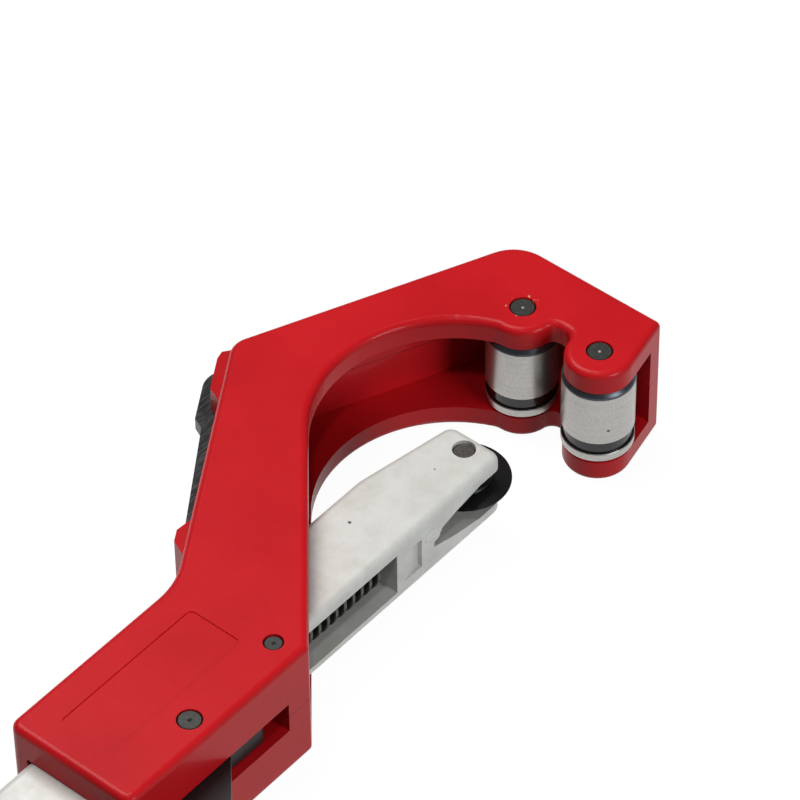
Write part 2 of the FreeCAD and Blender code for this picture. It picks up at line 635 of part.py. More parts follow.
def make_knob():
    """The fluted feed knob, hollow behind for the spare wheel."""
    bore = "shank_radius + press_gap"
    body = turned("knob", [
        (bore, KNOB_FRONT), ("knob_neck", KNOB_FRONT), ("knob_neck", f"{KNOB_FRONT} - knob_shoulder"),
        ("knob_radius - 1.2", f"{KNOB_FRONT} - knob_shoulder"),
        ("knob_radius", f"{KNOB_FRONT} - knob_shoulder - 1.2"),
        ("knob_radius", f"{KNOB_REAR} + 1.6"), ("knob_radius - 1.6", KNOB_REAR),
        ("store_radius", KNOB_REAR), ("store_radius", f"{KNOB_REAR} + store_deep"),
        (bore, f"{KNOB_REAR} + store_deep"),
    ])
    flute = new_sketch(body, "XY_Plane", f"{KNOB_REAR} - 1")
    draw_circle(flute, "knob_radius + knob_rib * 0.45", "0", "knob_rib")
    cut = pocket(body, flute, "knob_long - knob_shoulder + 1", reverse=True)
    pattern = body.newObject("PartDesign::PolarPattern", "Flutes")
    pattern.Originals = [cut]
    pattern.Axis = (flute, ["N_Axis"])
    pattern.Angle = 360
    bind(pattern, "Occurrences", "knob_ribs")
    body.Tip = pattern
    doc.recompute()
    hole = new_sketch(body, "XZ_Plane")
    draw_circle(hole, "0", f"{KNOB_FRONT} - knob_pin_back", "knob_pin_radius + press_gap")
    pocket(body, hole, "3 * knob_radius", midplane=True)
    along_x(body)


def make_knob_fittings():
    """The cross pin, the spare wheel and the cap that closes its store."""
    length = "(2 * knob_radius - 2 * knob_pin_sink)"
    pin = make_pin("knob_pin", "knob_pin_radius", length)
    place(pin, f"{KNOB_FRONT} - knob_pin_back", f"feed_y - {length} / 2", MID, Vector(1, 0, 0), -90)
    spare = make_wheel("spare_wheel")
    along_x(spare, f"{KNOB_REAR} + store_deep - hub_high / 2 - cap_gap")
    cap = turned("knob_cap", [
        ("0", "0"), ("store_radius - cap_gap - 0.6", "0"), ("store_radius - cap_gap", "0.6"),
        ("store_radius - cap_gap", "cap_thick"), ("0", "cap_thick"),
    ])
    cut_driver_slot(cap, "coin_slot", "coin_deep", "(store_radius * 0.55)")
    along_x(cap, KNOB_REAR)


# ---------------------------------------------------------------- release lever

WING_X = "(wing_root - wing_long * cos(wing_angle))"
WING_Y = "(-house_right - wing_long * sin(wing_angle))"
WING_IN_X = f"({WING_X} - pad_thick * sin(wing_angle))"
WING_IN_Y = f"({WING_Y} + pad_thick * cos(wing_angle))"
PAD_X = f"({WING_X} - pad_long * cos(pad_lean))"
PAD_Y = f"({WING_Y} - pad_long * sin(pad_lean))"
PAD_IN_X = f"({PAD_X} - pad_thick * sin(pad_lean))"
PAD_IN_Y = f"({PAD_Y} + pad_thick * cos(pad_lean))"


def lever_blank(body):
    """The lever in plan: nose at the screw, hub on the pivot, wing and thumb pad outside."""
    flare = "wing_root + (house_right - nose_outer) / tan(wing_angle)"
    outline = [
        ("nose_front", "feed_y - nose_inner"), ("nose_rear", "feed_y - nose_inner"),
        ("nose_rear", "feed_y - thread_radius - 1"), ("lever_hub", "lever_hub / 2 - pivot_y"),
        ("-lever_hub", "-pivot_y - 0.6"), ("-wing_back", f"{SEAT_Y} - lever_fall - 0.8"),
        ("-wing_back", "-house_right"), (WING_IN_X, WING_IN_Y), (PAD_IN_X, PAD_IN_Y),
        (PAD_X, PAD_Y), (WING_X, WING_Y), (flare, "-nose_outer"), ("nose_front", "-nose_outer"),
    ]
    sketch = new_sketch(body, "XY_Plane", MID)
    draw_polygon(sketch, outline)
    pad(body, sketch, "lever_thick", midplane=True)
    dress(body, "Fillet", upright_edges(body, [outline[7], outline[10]]), "pad_thick * 1.4")
    dress(body, "Fillet", upright_edges(body, [outline[11], outline[12]]), "lever_round * 2")
    hub = new_sketch(body, "XY_Plane", MID)
    draw_circle(hub, "0", "-pivot_y", "lever_hub")
    pad(body, hub, "lever_thick", midplane=True)
    thumb = new_sketch(body, "XY_Plane", MID)
    draw_polygon(thumb, [(f"{WING_X} - 5 * cos(pad_lean)", f"{WING_Y} - 5 * sin(pad_lean)"),
                         (f"{WING_IN_X} - 5 * cos(pad_lean)", f"{WING_IN_Y} - 5 * sin(pad_lean)"),
                         (PAD_IN_X, PAD_IN_Y), (PAD_X, PAD_Y)])
    pad(body, thumb, "pad_high", midplane=True)


def lever_holes(body):
    """The pivot's bore and the spring's blind hole."""
    bore = new_sketch(body, "XY_Plane", MID)
    draw_circle(bore, "0", "-pivot_y", "pivot_radius + run_gap")
    pocket(body, bore, "lever_thick + 1", midplane=True)
    cup = new_sketch(body, "XZ_Plane", f"-{SEAT_Y}")
    draw_circle(cup, "-spring_x", MID, "spring_hole")
    pocket(body, cup, f"spring_floor + {SEAT_Y}", reverse=True)


def make_lever():
    """The release lever, with the half nut's thread cut in its nose by the screw's own shape."""
    blank = new_body("lever_blank")
    lever_blank(blank)
    lever_holes(blank)
    core = "(thread_root + nut_gap)"
    tap = turned("lever_tap", [
        ("0", "nose_rear - 4 * thread_pitch"), (core, "nose_rear - 4 * thread_pitch"),
        (core, "nose_front + 4 * thread_pitch"), ("0", "nose_front + 4 * thread_pitch"),
    ])
    start = "(1.2 - thread_rear)"
    turns = "floor((nose_rear - 1.2 + thread_rear) / thread_pitch - 1)"
    add_thread(tap, core, "(thread_radius + nut_gap)", "(thread_crest + 3 * nut_gap)",
               "(thread_base + 3 * nut_gap)", f"({start} + {turns} * thread_pitch)",
               "(nose_front + 1.5 * thread_pitch)")
    along_x(tap)
    lever = doc.addObject("Part::Cut", "Cut_release_lever")
    lever.Label = "release_lever"
    lever.Base = blank
    lever.Tool = tap
    doc.recompute()


def make_lever_spring():
    """The compression spring between the housing's seat wall and the lever's blind hole."""
    body = new_body("lever_spring")
    ring = new_sketch(body, "XZ_Plane")
    draw_circle(ring, "spring_radius", "0", "spring_wire")
    doc.recompute()
    span = f"(spring_floor + {SEAT_Y} - 2 * spring_end - 2 * spring_wire)"
    coil = body.newObject("PartDesign::AdditiveHelix", "Coil")
    coil.Profile = ring
    coil.ReferenceAxis = (ring, ["V_Axis"])
    coil.Mode = 0
    coil.Pitch = value(f"{span} / spring_turns")
    coil.Height = value(span)
    bind(coil, "Pitch", f"{span} / spring_turns")
    bind(coil, "Height", span)
    doc.recompute()
    place(body, "-spring_x", f"{SEAT_Y} - spring_end - spring_wire", MID, Vector(1, 0, 0), 90)


# ---------------------------------------------------------------- reamer


def make_reamer():
    """The folding reamer blade, its pin and its spring washer."""
    body = new_body("reamer_blade")
    base = f"{MID} - reamer_slot / 2 + reamer_washer + reamer_lift"
    sketch = new_sketch(body, "XY_Plane", base)
    draw_polygon(sketch, [
        on_spine("reamer_along", "reamer_out + reamer_hub"),
        on_spine("reamer_along", "reamer_out - reamer_hub"),
        on_spine("reamer_shoulder", "reamer_back"), on_spine("reamer_tip - 2", "reamer_tip_out - 1.6"),
        on_spine("reamer_tip", "reamer_tip_out"), on_spine("reamer_shoulder + 1", "reamer_edge"),
        on_spine("reamer_shoulder - 1.5", "reamer_out + reamer_hub"),
    ])
    pad(body, sketch, "reamer_thick")
    hub = new_sketch(body, "XY_Plane", base)
    draw_circle(hub, *on_spine("reamer_along", "reamer_out"), "reamer_hub")
    pad(body, hub, "reamer_thick")
    hole = new_sketch(body, "XY_Plane", base)
    draw_circle(hole, *on_spine("reamer_along", "reamer_out"), "reamer_pin_radius + run_gap")
    pocket(body, hole, "reamer_thick + 1", reverse=True)
    spot = on_spine("reamer_along", "reamer_out")
    pin = make_pin("reamer_pin", "reamer_pin_radius", "(rib_high - 4 * reamer_pin_sink)")
    place(pin, *spot, f"{MID} - rib_high / 2 + 2 * reamer_pin_sink")
    washer = turned("reamer_washer", [
        ("reamer_pin_radius + run_gap", "0"), ("reamer_washer_radius", "0"),
        ("reamer_washer_radius", "reamer_washer"), ("reamer_pin_radius + run_gap", "reamer_washer"),
    ])
    place(washer, *spot, f"{MID} - reamer_slot / 2 + 0.02")


# ---------------------------------------------------------------- build and write

NODES = [
    "frame", "roller_far", "roller_near", "roller_pin_far", "roller_pin_near",
    "lever_pivot_pin", "guide_pin", "slide", "cutter_wheel", "wheel_pin", "feed_screw",
    "thrust_washer", "retaining_ring", "knob", "knob_pin", "spare_wheel", "knob_cap",
    "release_lever", "lever_spring", "reamer_blade", "reamer_pin", "reamer_washer",
]


def build():
    """Make every sub-part."""
    fill_sheet()
    make_frame()
    make_roller("roller_far", ROLLER_Y)
    make_roller("roller_near", f"-{ROLLER_Y}")
    make_frame_pins()
    make_slide()
    place(make_wheel("cutter_wheel"), "wheel_x", "feed_y", MID)
    make_wheel_pin()
    make_feed_screw()
    make_thrust_parts()
    make_knob()
    make_knob_fittings()
    make_lever()
    make_lever_spring()
    make_reamer()
    doc.recompute()


def write_parts():
    """Check every object and sub-part, then write one STEP file for each node."""
    failed = [f"{o.Name} {o.Label} {o.State}" for o in doc.Objects
              if "Invalid" in o.State or "Error" in o.State]
    if failed:
        raise RuntimeError("failed: " + "; ".join(failed))
    shapes = {}
    for name in NODES:
        shape = doc.getObjectsByLabel(name)[0].Shape
        if shape.isNull() or not shape.isValid() or not shape.Solids:
            raise RuntimeError(f"{name} has no valid solid")
        shapes[name] = shape
    os.makedirs("parts", exist_ok=True)
    for name, shape in shapes.items():
        shape.exportStep(f"parts/{name}.step")
        print(f"{name:18s} {shape.Volume:10.1f} mm3 {len(shape.Solids)} solid(s)")


build()
write_parts()
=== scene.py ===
"""Looks of a quick-acting pipe cutter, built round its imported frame.

Metres. +X runs along the slide towards the jaw, +Y towards the C-frame's spine and +Z up out of
the side that the tool lies on.
"""

import logging
import math
from dataclasses import dataclass
from enum import Enum

import bmesh
import bpy
from mathutils import Matrix, Vector, noise


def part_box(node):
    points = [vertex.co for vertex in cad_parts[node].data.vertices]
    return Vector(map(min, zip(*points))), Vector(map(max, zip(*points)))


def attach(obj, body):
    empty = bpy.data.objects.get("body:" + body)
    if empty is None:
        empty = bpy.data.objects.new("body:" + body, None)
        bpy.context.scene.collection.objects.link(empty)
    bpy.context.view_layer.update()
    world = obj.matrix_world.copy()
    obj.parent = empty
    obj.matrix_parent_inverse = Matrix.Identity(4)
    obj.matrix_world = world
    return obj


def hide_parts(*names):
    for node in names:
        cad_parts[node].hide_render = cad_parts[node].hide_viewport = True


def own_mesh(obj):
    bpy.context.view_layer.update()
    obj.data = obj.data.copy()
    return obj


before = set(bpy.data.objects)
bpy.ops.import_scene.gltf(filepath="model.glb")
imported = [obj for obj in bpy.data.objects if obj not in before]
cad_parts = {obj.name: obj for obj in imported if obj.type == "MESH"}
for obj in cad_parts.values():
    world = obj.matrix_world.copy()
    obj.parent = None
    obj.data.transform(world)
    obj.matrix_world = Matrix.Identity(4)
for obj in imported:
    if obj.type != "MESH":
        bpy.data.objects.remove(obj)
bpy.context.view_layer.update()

MM = 0.001
AXIS_HIGH = 15.0 * MM
FEED_SIDE = -2.0 * MM
QUARTER = math.radians(90)
FEED_TURN = (Matrix.Translation(Vector((0, FEED_SIDE, AXIS_HIGH)))
             @ Matrix.Rotation(QUARTER, 4, "Y"))
ON_AXIS = 1e-9
Colour = tuple[float, float, float]
Place = tuple[float, float, float]
log = logging.getLogger("pipe_cutter")


class Blend(Enum):
    """How one colour lies over another."""

    MIX = "MIX"
    MULTIPLY = "MULTIPLY"


class Along(Enum):
    """The row axis that a turned piece lies along."""

    X = "X"
    Y = "Y"
    Z = "Z"


# ------------------------------------------------------------------ node helpers


class Shader:
    """A material and its node tree, filled one node at a time."""

    def __init__(self, name: str) -> None:
        """Start a material with one principled surface.

        Args:
            name: The material's name.
        """
        self.material = bpy.data.materials.new(name)
        self.material.use_nodes = True
        self.tree = self.material.node_tree
        self.tree.nodes.clear()
        output = self.add("ShaderNodeOutputMaterial")
        self.surface = self.add("ShaderNodeBsdfPrincipled")
        self.tree.links.new(self.surface.outputs["BSDF"], output.inputs["Surface"])
        self.place = self.add("ShaderNodeTexCoord").outputs["Object"]

    def add(self, kind: str, **settings: object) -> bpy.types.Node:
        """Add a node.

        Args:
            kind: Blender's name for the node type.
            settings: Node properties to set.

        Returns:
            The new node.
        """
        node = self.tree.nodes.new(kind)
        for key, setting in settings.items():
            setattr(node, key, setting)
        return node

    def join(self, output: bpy.types.NodeSocket, target: bpy.types.NodeSocket) -> None:
        """Link one socket to another."""
        self.tree.links.new(output, target)

    def set(self, **values: object) -> None:
        """Set the surface's own sockets, with underscores for spaces in their names."""
        for key, value in values.items():
            if isinstance(value, tuple):
                value = (*value, 1.0)
            self.surface.inputs[key.replace("_", " ")].default_value = value

    def stretched(self, stretch: Place) -> bpy.types.NodeSocket:
        """The object's own coordinates, scaled along each axis."""
        mapping = self.add("ShaderNodeMapping")
        mapping.inputs["Scale"].default_value = stretch
        self.join(self.place, mapping.inputs["Vector"])
        return mapping.outputs["Vector"]

    def noise(self, scale: float, detail: float = 2.0, rough: float = 0.5,
              stretch: Place | None = None) -> bpy.types.NodeSocket:
        """A noise field on the object's coordinates.

        Args:
            scale: Waves per metre.
            detail: Octaves.
            rough: How much the fine octaves count.
            stretch: Scale along each axis, if not even.

        Returns:
            The field's value, about 0.5 on average.
        """
        node = self.add("ShaderNodeTexNoise")
        node.inputs["Scale"].default_value = scale
        node.inputs["Detail"].default_value = detail
        node.inputs["Roughness"].default_value = rough
        source = self.stretched(stretch) if stretch else self.place
        self.join(source, node.inputs["Vector"])
        return node.outputs["Fac"]

    def spots(self, scale: float, size: float, soft: float, keep: float) -> bpy.types.NodeSocket:
        """Scattered round spots.

        Args:
            scale: Cells per metre.
            size: A spot's radius as a share of its cell.
            soft: Width of its soft edge, as the same share.
            keep: The share of cells that hold a spot.

        Returns:
            1 in a spot and 0 outside.
        """
        cells = self.add("ShaderNodeTexVoronoi", feature="F1")
        cells.inputs["Scale"].default_value = scale
        cells.inputs["Randomness"].default_value = 1.0
        self.join(self.place, cells.inputs["Vector"])
        near = self.band(cells.outputs["Distance"], size + soft, size)
        split = self.add("ShaderNodeSeparateColor")
        self.join(cells.outputs["Color"], split.inputs["Color"])
        chosen = self.band(split.outputs["Red"], keep + 0.01, keep)
        return self.maths("MULTIPLY", near, chosen)

    def band(self, source: bpy.types.NodeSocket, low: float, high: float,
             to_low: float = 0.0, to_high: float = 1.0) -> bpy.types.NodeSocket:
        """Map a value from low..high to to_low..to_high, clamped.

        Args:
            source: The value.
            low: Source value that gives to_low.
            high: Source value that gives to_high.
            to_low: Result at low.
            to_high: Result at high.

        Returns:
            The mapped value.
        """
        node = self.add("ShaderNodeMapRange", clamp=True)
        for key, number in (("From Min", low), ("From Max", high),
                            ("To Min", to_low), ("To Max", to_high)):
            node.inputs[key].default_value = number
        self.join(source, node.inputs["Value"])
        return node.outputs["Result"]

    def maths(self, operation: str, first: bpy.types.NodeSocket | float,
              second: bpy.types.NodeSocket | float = 0.0) -> bpy.types.NodeSocket:
        """One step of arithmetic.

        Args:
            operation: Blender's name for it.
            first: A socket or a number.
            second: A socket or a number.

        Returns:
            The result.
        """
        node = self.add("ShaderNodeMath", operation=operation)
        for index, term in enumerate((first, second)):
            if isinstance(term, (int, float)):
                node.inputs[index].default_value = term
            else:
                self.join(term, node.inputs[index])
        return node.outputs["Value"]

    def axis(self, letter: str) -> bpy.types.NodeSocket:
        """The object's own X, Y or Z coordinate in metres."""
        split = self.add("ShaderNodeSeparateXYZ")
        self.join(self.place, split.inputs["Vector"])
        return split.outputs[letter]

    def radius(self, centre: Place, along: Along) -> bpy.types.NodeSocket:
        """Distance from an axis through centre.

        Args:
            centre: A point on the axis, in metres.
            along: The axis's direction.

        Returns:
            The distance in metres.
        """
        flat = tuple(0.0 if letter == along.value else 1.0 for letter in "XYZ")
        shifted = self.add("ShaderNodeVectorMath", operation="SUBTRACT")
        shifted.inputs[1].default_value = centre
        self.join(self.place, shifted.inputs[0])
        cut = self.add("ShaderNodeVectorMath", operation="MULTIPLY")
        cut.inputs[1].default_value = flat
        self.join(shifted.outputs["Vector"], cut.inputs[0])
        length = self.add("ShaderNodeVectorMath", operation="LENGTH")
        self.join(cut.outputs["Vector"], length.inputs[0])
        return length.outputs["Value"]

    def mix(self, amount: bpy.types.NodeSocket, under: bpy.types.NodeSocket | Colour,
            over: bpy.types.NodeSocket | Colour, blend: Blend = Blend.MIX) -> bpy.types.NodeSocket:
        """Lay one colour over another.

        Args:
            amount: How much of the upper colour, 0 to 1.
            under: The lower colour.
            over: The upper colour.
            blend: How they mix.

        Returns:
            The mixed colour.
        """
        node = self.add("ShaderNodeMix", data_type="RGBA", blend_type=blend.value)
        self.join(amount, node.inputs[0])
        for index, colour in ((6, under), (7, over)):
            if isinstance(colour, tuple):
                node.inputs[index].default_value = (*colour, 1.0)
            else:
                self.join(colour, node.inputs[index])
        return node.outputs[2]

    def paint(self, socket: str, source: bpy.types.NodeSocket) -> None:
        """Feed one of the surface's sockets."""
        self.join(source, self.surface.inputs[socket])

    def relief(self, *layers: tuple[bpy.types.NodeSocket, float]) -> None:
        """Give the surface a fine relief.

        Args:
            layers: Pairs of a height field and its depth in metres.
        """
        normal = None
        for height, depth in layers:
            bump = self.add("ShaderNodeBump")
            bump.inputs["Strength"].default_value = 1.0
            bump.inputs["Distance"].default_value = depth
            self.join(height, bump.inputs["Height"])
            if normal is not None:
                self.join(normal, bump.inputs["Normal"])
            normal = bump.outputs["Normal"]
        self.join(normal, self.surface.inputs["Normal"])


# ------------------------------------------------------------------ mesh helpers


def lathe(outline: list[tuple[float, float]], segments: int) -> bpy.types.Mesh:
    """Turn a closed outline about local Z.

    Args:
        outline: Pairs of radius and height in metres, anticlockwise; a radius of 0 closes on the axis.
        segments: Steps round the axis.

    Returns:
        A closed mesh whose faces point outwards.
    """
    work = bmesh.new()
    rings = []
    for radius, height in outline:
        if radius < ON_AXIS:
            rings.append([work.verts.new((0, 0, height))] * segments)
            continue
        angles = (2 * math.pi * step / segments for step in range(segments))
        rings.append([work.verts.new((radius * math.cos(a), radius * math.sin(a), height))
                      for a in angles])
    for ring, ahead in zip(rings, rings[1:] + rings[:1]):
        for i in range(segments):
            j = (i + 1) % segments
            corners = list(dict.fromkeys((ring[i], ring[j], ahead[j], ahead[i])))
            if len(corners) > 2:
                work.faces.new(corners)
    bmesh.ops.recalc_face_normals(work, faces=work.faces)
    mesh = bpy.data.meshes.new("lathed")
    work.to_mesh(mesh)
    work.free()
    return mesh


def smooth(mesh: bpy.types.Mesh, angle: float = 35.0) -> None:
    """Shade a mesh smooth, with creases sharper than an angle in degrees kept."""
    mesh.polygons.foreach_set("use_smooth", [True] * len(mesh.polygons))
    mesh.set_sharp_from_angle(angle=math.radians(angle))


def piece(name: str, mesh: bpy.types.Mesh, body: str,
          replaced: tuple[str, ...] = ()) -> bpy.types.Object:
    """Put a finished mesh into the scene.

    Args:
        name: The piece's name.
        mesh: Its mesh, already in its place.
        body: The body that it rides on.
        replaced: CAD nodes that it stands for.

    Returns:
        The new object.
    """
    thing = bpy.data.objects.new(name, mesh)
    bpy.context.scene.collection.objects.link(thing)
    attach(thing, body)
    if replaced:
        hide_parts(*replaced)
    log.info("%s: %d faces on %s", name, len(mesh.polygons), body)
    return thing


class Growth:
    """A Geometry Nodes tree that grows one repeated or swept shape."""

    def __init__(self, name: str) -> None:
        """Start an empty tree.

        Args:
            name: The tree's name.
        """
        self.tree = bpy.data.node_groups.new(name, "GeometryNodeTree")
        face = self.tree.interface
        face.new_socket("Geometry", in_out="INPUT", socket_type="NodeSocketGeometry")
        face.new_socket("Geometry", in_out="OUTPUT", socket_type="NodeSocketGeometry")
        self.entry = self.tree.nodes.new("NodeGroupInput")
        self.exit = self.tree.nodes.new("NodeGroupOutput")
        self.sizes: dict[str, float] = {}

    def size(self, name: str, amount: float, whole: bool = False) -> bpy.types.NodeSocket:
        """A named input of the tree, with its value.

        Args:
            name: The input's name.
            amount: Its value, in metres, radians or a count.
            whole: True for a count.

        Returns:
            The socket that gives it inside the tree.
        """
        kind = "NodeSocketInt" if whole else "NodeSocketFloat"
        self.tree.interface.new_socket(name, in_out="INPUT", socket_type=kind)
        self.sizes[name] = int(amount) if whole else float(amount)
        return self.entry.outputs[name]

    def add(self, kind: str, inputs: dict[str, object] | None = None,
            **settings: object) -> bpy.types.Node:
        """Add a node.

        Args:
            kind: Blender's name for the node type.
            inputs: Sockets to link or values to set, by input name.
            settings: Node properties to set.

        Returns:
            The new node.
        """
        node = self.tree.nodes.new(kind)
        for key, setting in settings.items():
            setattr(node, key, setting)
        for key, given in (inputs or {}).items():
            if isinstance(given, bpy.types.NodeSocket):
                self.tree.links.new(given, node.inputs[key])
            else:
                node.inputs[key].default_value = given
        return node

    def triple(self, x: object = 0.0, y: object = 0.0, z: object = 0.0) -> bpy.types.NodeSocket:
        """A vector from three sockets or numbers."""
        return self.add("ShaderNodeCombineXYZ", {"X": x, "Y": y, "Z": z}).outputs["Vector"]

    def helix(self, turns: bpy.types.NodeSocket, radius: bpy.types.NodeSocket,
              height: bpy.types.NodeSocket, steps: int) -> bpy.types.NodeSocket:
        """A right-hand helix about local Z, with its normals lying level.

        Args:
            turns: Whole turns.
            radius: Its radius.
            height: Its rise.
            steps: Points in each turn.

        Returns:
            The curve.
        """
        curve = self.add("GeometryNodeCurveSpiral", {
            "Resolution": steps, "Rotations": turns, "Start Radius": radius,
            "End Radius": radius, "Height": height})
        level = self.add("GeometryNodeSetCurveNormal", {"Curve": curve.outputs["Curve"]})
        level.mode = "Z_UP"
        return level.outputs["Curve"]

    def sweep(self, path: bpy.types.NodeSocket, profile: bpy.types.NodeSocket) -> bpy.types.NodeSocket:
        """A closed skin of a profile carried along a path."""
        skin = self.add("GeometryNodeCurveToMesh", {
            "Curve": path, "Profile Curve": profile, "Fill Caps": True})
        return skin.outputs["Mesh"]

    def grow(self, shape: bpy.types.NodeSocket, material: bpy.types.Material,
             start: bpy.types.Mesh | None = None) -> bpy.types.Mesh:
        """End the tree and turn its result into a plain mesh.

        Args:
            shape: The last geometry.
            material: What it is made of.
            start: A mesh that the tree's shape is joined to, if any.

        Returns:
            The mesh, still on local axes.
        """
        joined = self.add("GeometryNodeJoinGeometry")
        self.tree.links.new(self.entry.outputs["Geometry"], joined.inputs["Geometry"])
        self.tree.links.new(shape, joined.inputs["Geometry"])
        real = self.add("GeometryNodeRealizeInstances", {"Geometry": joined.outputs["Geometry"]})
        dressed = self.add("GeometryNodeSetMaterial", {
            "Geometry": real.outputs["Geometry"], "Material": material})
        self.tree.links.new(dressed.outputs["Geometry"], self.exit.inputs["Geometry"])
        holder = bpy.data.objects.new("growing", start or bpy.data.meshes.new("empty"))
        bpy.context.scene.collection.objects.link(holder)
        grower = holder.modifiers.new("grow", "NODES")
        grower.node_group = self.tree
        for item in self.tree.interface.items_tree:
            if item.in_out == "INPUT" and item.name in self.sizes:
                grower[item.identifier] = self.sizes[item.name]
        ready = holder.evaluated_get(bpy.context.evaluated_depsgraph_get())
        mesh = bpy.data.meshes.new_from_object(ready)
        bpy.data.objects.remove(holder)
        return mesh


# ------------------------------------------------------------------ finishes


@dataclass(frozen=True)
class RedPaint:
    """Thick gloss enamel over a rough casting, chipped where a pin was driven."""

    colour: Colour = (0.555, 0.0095, 0.014)
    deep: Colour = (0.47, 0.006, 0.010)
    chip: Colour = (0.70, 0.42, 0.26)
    roughness: float = 0.36
    seam: float = 0.12 * MM
    driven: Place = (0.124, 0.0098, 0.0)
    driven_radius: float = 2.75 * MM
    chips_from: float = 0.3 * MM
    chips_to: float = 1.1 * MM
    seam_strong: float = 0.45

    def seam_line(self, shader: Shader) -> bpy.types.NodeSocket:
        """1 on the mould's parting line at mid height, 0 elsewhere."""
        off = shader.maths("ABSOLUTE", shader.maths("SUBTRACT", shader.axis("Z"), AXIS_HIGH))
        return shader.band(off, self.seam * 2, self.seam)

    def chips(self, shader: Shader) -> bpy.types.NodeSocket:
        """1 in the small chips round the driven pin, 0 elsewhere."""
        ring = shader.band(shader.radius(self.driven, Along.Z),
                           self.driven_radius + self.chips_to,
                           self.driven_radius + self.chips_from)
        ragged = shader.band(shader.noise(900, 3, 0.6), 0.63, 0.66)
        return shader.maths("MULTIPLY", ring, ragged)

    def material(self) -> bpy.types.Material:
        """The enamel's material."""
        shader = Shader("red_enamel")
        shader.set(Roughness=self.roughness, Specular_IOR_Level=0.1,
                   Coat_Weight=0.1, Coat_Roughness=0.06)
        cloud = shader.band(shader.noise(45, 4), 0.35, 0.75)
        base = shader.mix(cloud, self.colour, self.deep)
        seam = self.seam_line(shader)
        faint = shader.maths("MULTIPLY", seam, self.seam_strong)
        lined = shader.mix(faint, base, self.deep, Blend.MULTIPLY)
        shader.paint("Base Color", shader.mix(self.chips(shader), lined, self.chip))
        shader.relief((shader.noise(1500, 2), 0.000012), (shader.noise(260, 3), 0.00005),
                      (seam, 0.00006))
        return shader.material


@dataclass(frozen=True)
class CastZinc:
    """Tumbled zinc casting, unpainted, with faint stains and a few pores."""

    colour: Colour = (0.69, 0.685, 0.65)
    dull: Colour = (0.56, 0.55, 0.51)
    stain: Colour = (0.43, 0.39, 0.30)
    pore: Colour = (0.07, 0.06, 0.05)
    roughness: float = 0.42

    def material(self) -> bpy.types.Material:
        """The casting's material."""
        shader = Shader("cast_zinc")
        shader.set(Metallic=0.12)
        cloud = shader.band(shader.noise(150, 6, 0.68), 0.35, 0.7)
        base = shader.mix(cloud, self.colour, self.dull)
        stains = shader.band(shader.noise(70, 5, 0.7), 0.52, 0.8, 0.0, 0.5)
        stained = shader.mix(stains, base, self.stain)
        pores = shader.maths("MAXIMUM", shader.spots(210, 0.055, 0.03, 0.1),
                             shader.spots(480, 0.07, 0.05, 0.06))
        shader.paint("Base Color", shader.mix(pores, stained, self.pore))
        shader.paint("Roughness", shader.band(cloud, 0, 1, self.roughness - 0.08, self.roughness + 0.1))
        shader.relief((shader.noise(1400, 4, 0.6), 0.000012), (shader.noise(300, 3), 0.00002),
                      (shader.maths("SUBTRACT", 1.0, pores), 0.00006))
        return shader.material


@dataclass(frozen=True)
class PlainMetal:
    """A metal or dark coating with a fine mottle."""

    name: str
    colour: Colour
    roughness: float
    metallic: float = 1.0
    mottle: float = 0.25
    grain: float = 700.0
    depth: float = 0.00001

    def material(self) -> bpy.types.Material:
        """The metal's material."""
        shader = Shader(self.name)
        shader.set(Metallic=self.metallic, Roughness=self.roughness)
        cloud = shader.band(shader.noise(self.grain, 4, 0.6), 0.3, 0.75)
        dark = tuple(channel * (1 - self.mottle) for channel in self.colour)
        shader.paint("Base Color", shader.mix(cloud, self.colour, dark))
        shader.relief((shader.noise(self.grain * 3, 3), self.depth))
        return shader.material


@dataclass(frozen=True)
class GroundSteel:
    """Steel ground round an upright axis, with faint rings and a few rust specks."""

    colour: Colour = (0.47, 0.455, 0.435)
    dull: Colour = (0.35, 0.34, 0.32)
    rust: Colour = (0.10, 0.05, 0.03)
    roughness: float = 0.33

    def material(self) -> bpy.types.Material:
        """The ground steel's material."""
        shader = Shader("ground_steel")
        shader.set(Metallic=0.9)
        rings = shader.noise(500, 4, 0.7, (0.15, 0.15, 9.0))
        fine = shader.noise(2600, 2, 0.6)
        cloud = shader.band(shader.maths("ADD", shader.maths("MULTIPLY", rings, 0.5),
                                         shader.maths("MULTIPLY", fine, 0.5)), 0.38, 0.66)
        specks = shader.spots(260, 0.085, 0.05, 0.3)
        steel = shader.mix(cloud, self.colour, self.dull)
        shader.paint("Base Color", shader.mix(specks, steel, self.rust))
        shader.paint("Roughness", shader.band(cloud, 0, 1, self.roughness - 0.05, self.roughness + 0.08))
        shader.relief((rings, 0.000006), (fine, 0.000004))
        return shader.material


